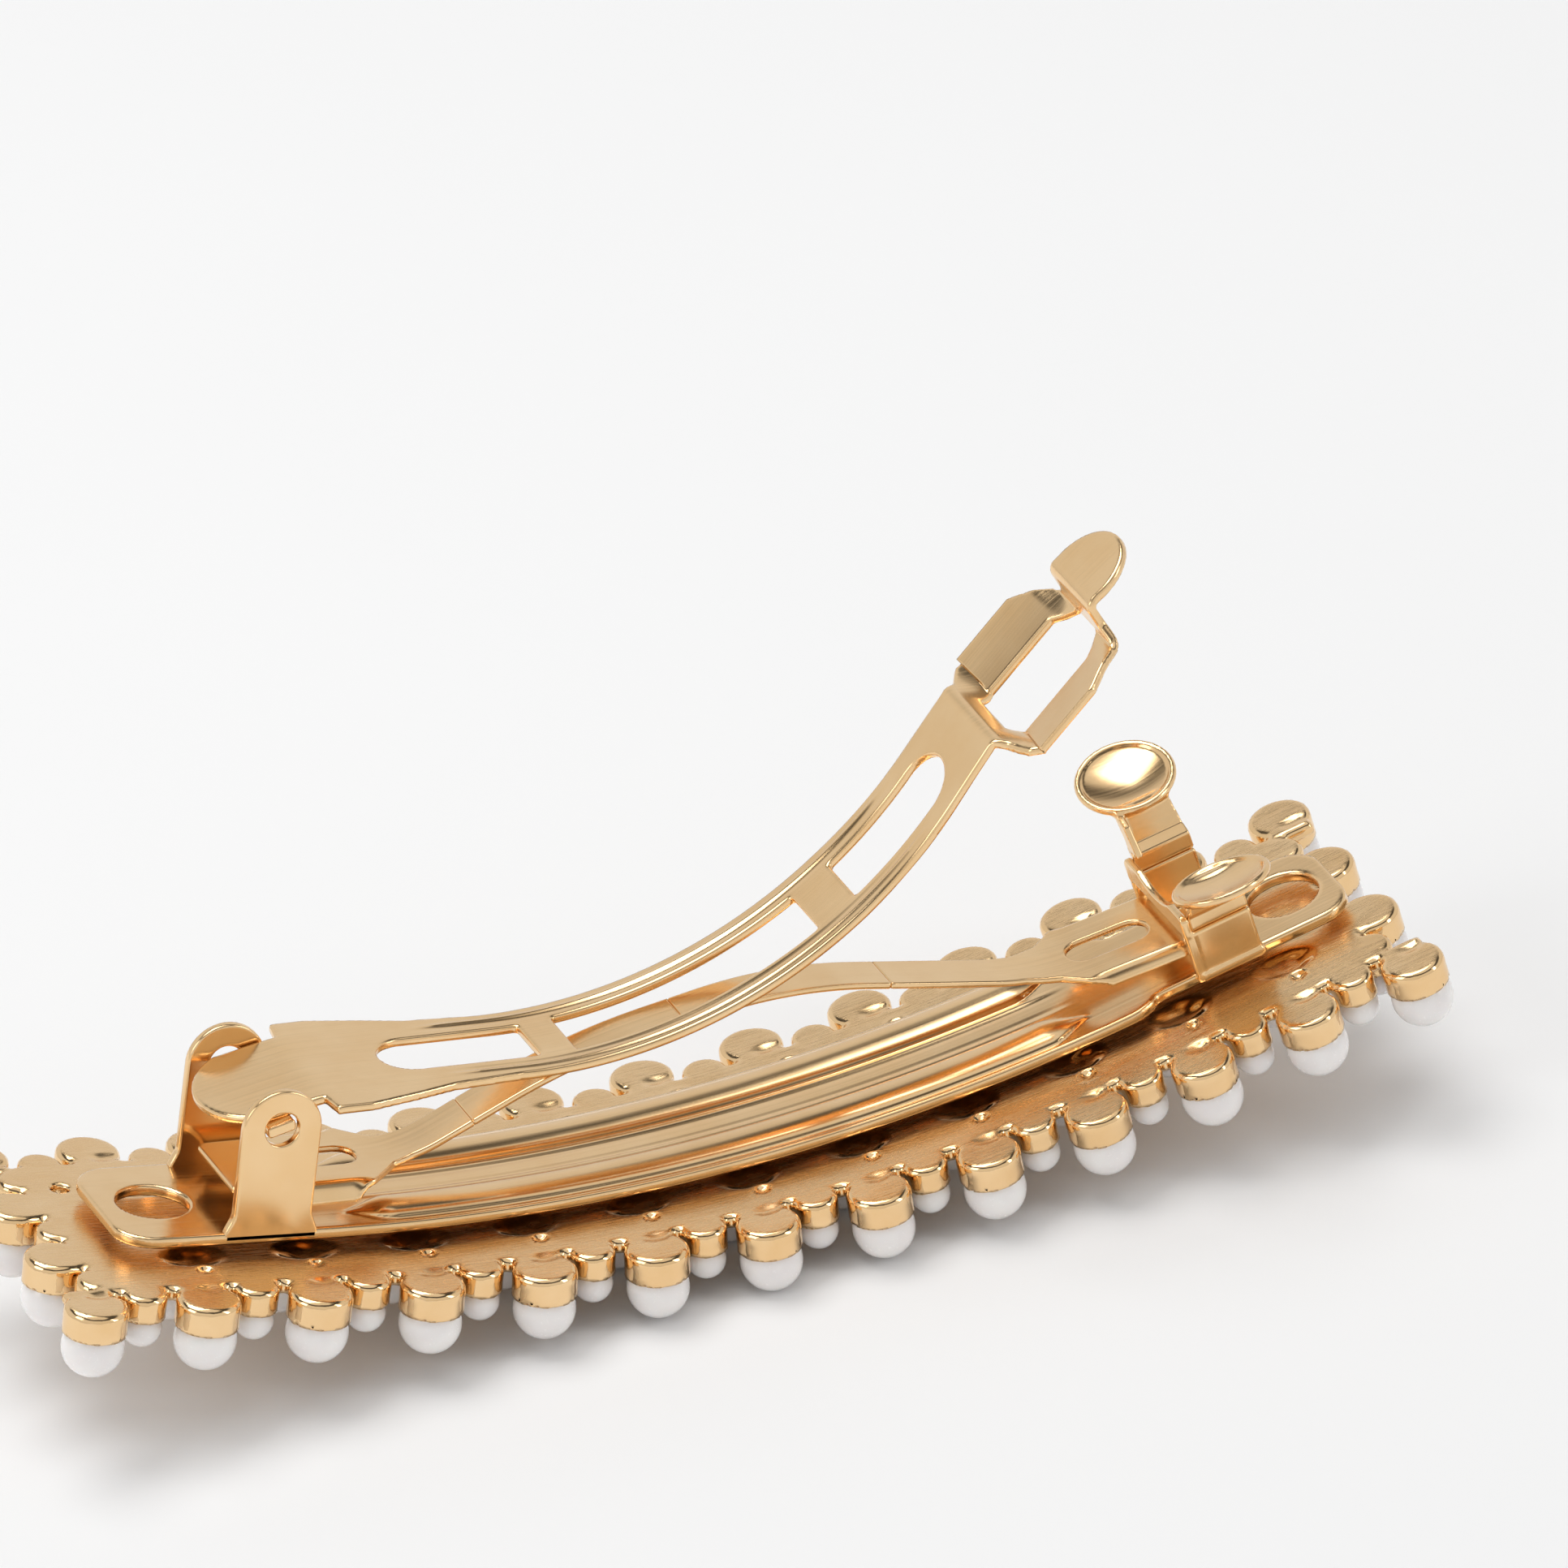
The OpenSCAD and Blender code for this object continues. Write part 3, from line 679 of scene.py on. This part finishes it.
# ---------- materials ----------
def material(name):
    m = bpy.data.materials.new(name)
    m.use_nodes = True
    nodes, links = m.node_tree.nodes, m.node_tree.links
    nodes.clear()
    out = nodes.new("ShaderNodeOutputMaterial")
    shader = nodes.new("ShaderNodeBsdfPrincipled")
    links.new(shader.outputs["BSDF"], out.inputs["Surface"])
    return m, nodes, links, shader


def coords(nodes, links, scale, turn=(0, 0, 0)):
    """Object coordinates in millimetres, stretched and turned."""
    tex = nodes.new("ShaderNodeTexCoord")
    mapping = nodes.new("ShaderNodeMapping")
    mapping.inputs["Scale"].default_value = [1000 * s for s in scale]
    mapping.inputs["Rotation"].default_value = turn
    links.new(tex.outputs["Object"], mapping.inputs["Vector"])
    return mapping.outputs["Vector"]


def noise(nodes, links, vector, scale, detail=3.0, rough=0.55):
    n = nodes.new("ShaderNodeTexNoise")
    n.inputs["Scale"].default_value = scale
    n.inputs["Detail"].default_value = detail
    n.inputs["Roughness"].default_value = rough
    links.new(vector, n.inputs["Vector"])
    return n.outputs["Fac"]


def ranged(nodes, links, value, lo, hi, a=0.3, b=0.7):
    r = nodes.new("ShaderNodeMapRange")
    for key, x in (("From Min", a), ("From Max", b), ("To Min", lo), ("To Max", hi)):
        r.inputs[key].default_value = x
    links.new(value, r.inputs["Value"])
    return r.outputs["Result"]


def mixed(nodes, links, value, a, b):
    mix = nodes.new("ShaderNodeMix")
    mix.data_type = "RGBA"
    mix.inputs["A"].default_value = (*a, 1)
    mix.inputs["B"].default_value = (*b, 1)
    links.new(value, mix.inputs["Factor"])
    return mix.outputs["Result"]


def bumped(nodes, links, height, strength, distance, before=None):
    b = nodes.new("ShaderNodeBump")
    b.inputs["Strength"].default_value = strength
    b.inputs["Distance"].default_value = distance * MM
    links.new(height, b.inputs["Height"])
    if before is not None:
        links.new(before, b.inputs["Normal"])
    return b.outputs["Normal"]


GOLD_A, GOLD_B = (0.87, 0.58, 0.29), (0.92, 0.65, 0.36)


def cast_gold():
    """Plated casting: brushed flat back, polished rounded edges, uneven in the hollows."""
    m, nodes, links, shader = material("cast_gold")
    shader.inputs["Metallic"].default_value = 1.0
    fine = coords(nodes, links, (1, 1, 1))
    tone = noise(nodes, links, fine, 0.35, 4.0)
    colour = mixed(nodes, links, ranged(nodes, links, tone, 0, 1), GOLD_A, GOLD_B)
    links.new(colour, shader.inputs["Base Color"])
    geometry = nodes.new("ShaderNodeNewGeometry")
    split = nodes.new("ShaderNodeSeparateXYZ")
    links.new(geometry.outputs["Normal"], split.inputs["Vector"])
    flat = ranged(nodes, links, split.outputs["Z"], 0.0, 1.0, 0.90, 0.975)
    brushed = noise(nodes, links, coords(nodes, links, (0.5, 5.5, 1.0), (0, 0, 0.5)), 1.0, 3.0, 0.6)
    product = nodes.new("ShaderNodeMath")
    product.operation = "MULTIPLY"
    links.new(flat, product.inputs[0])
    links.new(brushed, product.inputs[1])
    rough = nodes.new("ShaderNodeMapRange")
    rough.inputs["From Max"].default_value = 0.7
    rough.inputs["To Min"].default_value = 0.10
    rough.inputs["To Max"].default_value = 0.34
    links.new(product.outputs["Value"], rough.inputs["Value"])
    links.new(rough.outputs["Result"], shader.inputs["Roughness"])
    lumps = noise(nodes, links, fine, 0.7, 2.0)
    normal = bumped(nodes, links, product.outputs["Value"], 0.35, 0.05)
    links.new(bumped(nodes, links, lumps, 0.25, 0.12, normal), shader.inputs["Normal"])
    return m


def sheet_gold(name="sheet_gold", rough=0.14, scale=(1, 1, 1)):
    """Bright plated sheet: faint rolling lines, a little waviness, fine marks."""
    m, nodes, links, shader = material(name)
    shader.inputs["Metallic"].default_value = 1.0
    fine = coords(nodes, links, scale)
    tone = noise(nodes, links, fine, 0.22, 3.0)
    colour = mixed(nodes, links, ranged(nodes, links, tone, 0, 1), GOLD_A, GOLD_B)
    links.new(colour, shader.inputs["Base Color"])
    lines = noise(nodes, links, coords(nodes, links, (0.06, 7.0, 0.06)), 1.0, 2.0, 0.5)
    links.new(ranged(nodes, links, lines, rough, rough + 0.12), shader.inputs["Roughness"])
    wavy = noise(nodes, links, fine, 0.16, 1.0)
    normal = bumped(nodes, links, lines, 0.10, 0.02)
    links.new(bumped(nodes, links, wavy, 0.18, 0.25, normal), shader.inputs["Normal"])
    return m


def pearl_white():
    """Pearl coating: white with faint warm and cool drifts, a soft body and a clear gloss."""
    m, nodes, links, shader = material("pearl_white")
    fine = coords(nodes, links, (1, 1, 1))
    drift = noise(nodes, links, fine, 0.45, 2.0)
    links.new(mixed(nodes, links, ranged(nodes, links, drift, 0, 1), (0.84, 0.80, 0.79), (0.90, 0.875, 0.85)),
              shader.inputs["Base Color"])
    speck = noise(nodes, links, fine, 6.0, 2.0)
    links.new(ranged(nodes, links, speck, 0.20, 0.28), shader.inputs["Roughness"])
    shader.inputs["Subsurface Weight"].default_value = 0.35
    shader.inputs["Subsurface Radius"].default_value = (1.0, 0.8, 0.7)
    shader.inputs["Subsurface Scale"].default_value = 0.001
    shader.inputs["Coat Weight"].default_value = 0.6
    shader.inputs["Coat Roughness"].default_value = 0.06
    shader.inputs["Specular IOR Level"].default_value = 0.6
    links.new(bumped(nodes, links, speck, 0.04, 0.02), shader.inputs["Normal"])
    return m


def paper_floor():
    m, nodes, links, shader = material("paper_floor")
    fine = coords(nodes, links, (1, 1, 1))
    grain = noise(nodes, links, fine, 0.02, 2.0)
    colour = mixed(nodes, links, ranged(nodes, links, grain, 0, 1), (0.90, 0.90, 0.90), (0.905, 0.905, 0.905))
    links.new(colour, shader.inputs["Base Color"])
    shader.inputs["Roughness"].default_value = 0.9
    shader.inputs["Specular IOR Level"].default_value = 0.1
    return m


# ---------- studio ----------
def make_floor():
    half = 3.0
    mesh = bpy.data.meshes.new("floor")
    n = 8
    line = [-half + 2 * half * i / n for i in range(n + 1)]
    pts = [(x, y, 0.0) for y in line for x in line]
    faces = [(j * (n + 1) + i, j * (n + 1) + i + 1, (j + 1) * (n + 1) + i + 1, (j + 1) * (n + 1) + i)
             for j in range(n) for i in range(n)]
    mesh.from_pydata(pts, [], faces)
    mesh.materials.append(paper_floor())
    floor = bpy.data.objects.new("floor", mesh)
    bpy.context.scene.collection.objects.link(floor)


def area(name, place, aim, size, power, colour=(1, 1, 1)):
    light = bpy.data.lights.new(name, "AREA")
    light.shape = "RECTANGLE"
    light.size, light.size_y = size
    light.energy = power
    light.color = colour
    lamp = bpy.data.objects.new(name, light)
    lamp.location = place
    lamp.rotation_mode = "QUATERNION"
    lamp.rotation_quaternion = (Vector(aim) - Vector(place)).to_track_quat("-Z", "Y")
    bpy.context.scene.collection.objects.link(lamp)
    return lamp


def make_world():
    """A pale room, brighter overhead, with a darker band above the camera for the metal to reflect."""
    world = bpy.data.worlds.new("studio")
    bpy.context.scene.world = world
    world.use_nodes = True
    nodes, links = world.node_tree.nodes, world.node_tree.links
    nodes.clear()
    out = nodes.new("ShaderNodeOutputWorld")
    background = nodes.new("ShaderNodeBackground")
    links.new(background.outputs["Background"], out.inputs["Surface"])
    tex = nodes.new("ShaderNodeTexCoord")
    split = nodes.new("ShaderNodeSeparateXYZ")
    links.new(tex.outputs["Generated"], split.inputs["Vector"])
    height = nodes.new("ShaderNodeValToRGB")
    stops = height.color_ramp
    stops.elements[0].position = 0.0
    stops.elements[0].color = (0.9, 0.9, 0.9, 1)
    stops.elements[1].position = 1.0
    stops.elements[1].color = (1.0, 1.0, 1.0, 1)
    for at, grey in ((0.30, 0.98), (0.56, 0.95), (0.66, 0.10), (0.80, 0.10), (0.86, 1.0)):
        e = stops.elements.new(at)
        e.color = (grey, grey, grey, 1)
    links.new(split.outputs["Z"], height.inputs["Fac"])
    links.new(height.outputs["Color"], background.inputs["Color"])
    background.inputs["Strength"].default_value = 0.78


def make_lights():
    area("overhead_box", (-0.10, 0.18, 0.62), (0, 0, 0.01), (0.50, 0.36), 1.9)
    area("left_box", (-0.55, -0.10, 0.35), (0, 0, 0.01), (0.30, 0.30), 0.6)
    area("right_strip", (0.50, -0.35, 0.30), (0, 0, 0.01), (0.12, 0.40), 0.5)


def make_camera():
    """A long lens, looking down on the near side from the left."""
    az, el, roll = (math.radians(k) for k in (-19.047, 27.778, -5.395))
    distance, across, up_by, target_z = 1521.786, 4.726, 21.353, 4.54
    back = Vector((math.sin(az) * math.cos(el), -math.cos(az) * math.cos(el), math.sin(el)))
    right = Vector((math.cos(az), math.sin(az), 0))
    up = back.cross(right)
    across_axis = right * math.cos(roll) + up * math.sin(roll)
    up_axis = up * math.cos(roll) - right * math.sin(roll)
    place = (back * distance + across_axis * across + up_axis * up_by + Vector((0, 0, target_z))) * MM
    camera = bpy.data.cameras.new("camera")
    camera.sensor_width = 36.0
    camera.lens = 36.0 * 31788.404 / 1932
    camera.clip_start, camera.clip_end = 0.05, 10.0
    holder = bpy.data.objects.new("camera", camera)
    turn = Matrix((across_axis, up_axis, back)).transposed()
    holder.matrix_world = Matrix.Translation(place) @ turn.to_4x4()
    bpy.context.scene.collection.objects.link(holder)
    bpy.context.scene.camera = holder
    bpy.context.scene.view_settings.view_transform = "Standard"


def dress_cad(pearl, sheet):
    """Every CAD node that stays visible gets a finished material."""
    for name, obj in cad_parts.items():
        for i in range(max(1, len(obj.material_slots))):
            if not obj.material_slots:
                obj.data.materials.append(pearl)
            obj.material_slots[i].material = pearl if "pearl" in name else sheet


def build():
    cast, sheet, pearl = cast_gold(), sheet_gold(), pearl_white()
    dress_cad(pearl, sheet)
    make_casting(cast)
    make_base(sheet)
    make_arm(sheet)
    make_trunnions(sheet)
    make_spring(sheet)
    make_latch(sheet)


build()
make_floor()
make_world()
make_lights()
make_camera()
